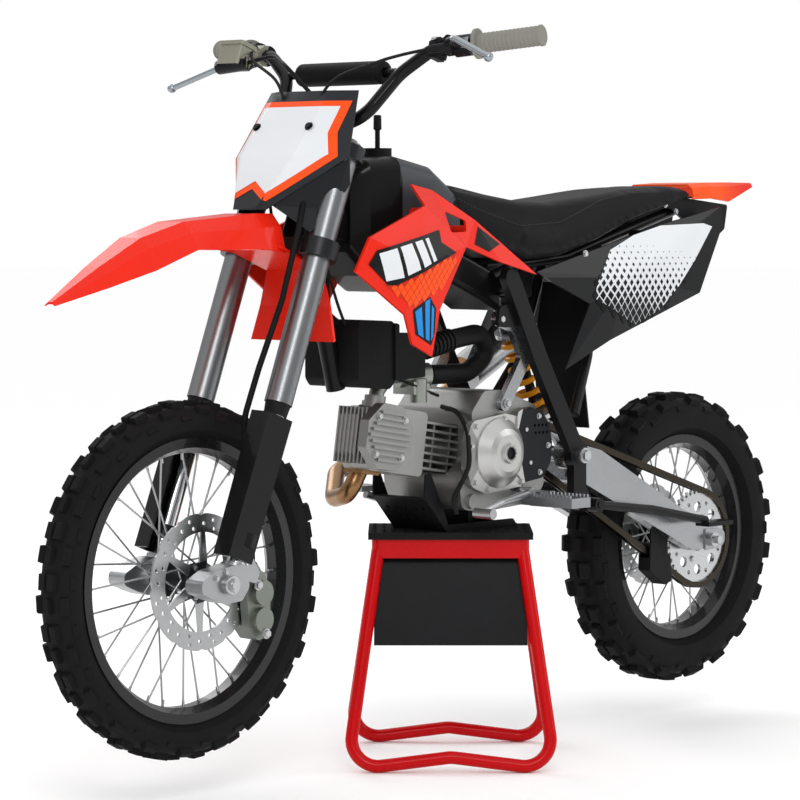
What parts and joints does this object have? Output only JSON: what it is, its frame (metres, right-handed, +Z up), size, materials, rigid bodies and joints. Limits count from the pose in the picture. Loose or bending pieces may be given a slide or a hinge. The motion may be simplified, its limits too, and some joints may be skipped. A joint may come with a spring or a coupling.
{
  "type": "dirt bike on a paddock stand",
  "caption": "Small dirt bike with knobby spoked wheels, long inverted fork, horizontal engine, side stand and blank number plate, resting on a bent-tube paddock stand.",
  "frame": {"origin": "on the floor under the paddock stand, midway between the tyres' front and rear ends and on the bike's middle plane", "axes": "+X forward, +Y to the rider's left, +Z up"},
  "size_m": [1.8123, 0.7534, 1.2464],
  "materials": {
    "rubber_tyre": "matte",
    "black_alloy": "gloss",
    "cut_steel": "satin",
    "grey_alloy": "satin",
    "engine_alloy": "cast",
    "black_steel": "satin",
    "black_plastic": "satin",
    "red_plastic": "gloss",
    "red_steel": "gloss",
    "black_rubber": "matte",
    "grey_rubber": "matte",
    "seat_cover": "grained",
    "exhaust_steel": "heat tinted",
    "chain_steel": "oiled",
    "shock_steel": "satin",
    "spring_enamel": "gloss"
  },
  "bodies": {
    "root": {"airbox": "black_plastic", "brake_pedal": "black_steel", "carburettor": "engine_alloy", "chain": "chain_steel", "chain_guide": "black_plastic", "drive_sprocket": "cut_steel", "engine_case": "engine_alloy", "engine_covers": "engine_alloy", "engine_cylinder": "engine_alloy", "engine_hangers": "grey_alloy", "exhaust": "exhaust_steel", "foot_pegs": "grey_alloy", "frame": "black_steel", "gear_lever": "black_steel", "inner_mudguard": "black_plastic", "intake_hose": "black_rubber", "intake_manifold": "engine_alloy", "kick_starter": "black_steel", "paddock_stand": "red_steel", "rear_axle": "cut_steel", "rear_caliper": "engine_alloy", "rear_fender": "red_plastic", "seat": "seat_cover", "shock_absorber": "shock_steel", "shock_spring": "spring_enamel", "shrouds": "red_plastic", "side_panels": "black_plastic", "skid_plate": "black_steel", "stand_board": "black_plastic", "stand_mat": "black_rubber", "swingarm": "grey_alloy", "swingarm_bolt": "cut_steel", "tail_tray": "black_plastic", "tank": "black_plastic"},
    "steering": {"triple_clamps": "black_steel", "fork_left": "grey_alloy", "fork_right": "grey_alloy", "front_axle": "cut_steel", "front_caliper": "engine_alloy", "handlebar": "black_steel", "bar_pad": "black_rubber", "hand_grips": "grey_rubber", "clutch_lever": "black_steel", "brake_lever": "black_steel", "throttle": "black_plastic", "front_fender": "red_plastic", "number_plate": "black_plastic", "brake_hose": "black_rubber", "fork_guards": "black_plastic"},
    "front_wheel": {"front_tyre": "rubber_tyre", "front_rim": "black_alloy", "front_hub": "black_alloy", "front_disc": "cut_steel"},
    "rear_wheel": {"rear_tyre": "rubber_tyre", "rear_rim": "black_alloy", "rear_hub": "black_alloy", "rear_disc": "cut_steel", "rear_sprocket": "cut_steel"},
    "side_stand": {"side_stand": "black_steel"}
  },
  "joints": [
    {"name": "steering", "type": "hinge", "parent": "root", "child": "steering", "pos_m": [0.37634, 0, 0.85322], "axis": [-0.3584, 0, 0.9336], "range_deg": [-42, 42]},
    {"name": "front_wheel_spin", "type": "hinge", "parent": "steering", "child": "front_wheel", "pos_m": [0.618, 0, 0.359], "axis": [0, 1, 0], "continuous": true},
    {"name": "rear_wheel_spin", "type": "hinge", "parent": "root", "child": "rear_wheel", "pos_m": [-0.636, 0, 0.341], "axis": [0, 1, 0], "continuous": true},
    {"name": "side_stand_fold", "type": "hinge", "parent": "root", "child": "side_stand", "pos_m": [-0.266, 0.127, 0.43], "axis": [0, -1, 0], "range_deg": [0, 94]}
  ]
}
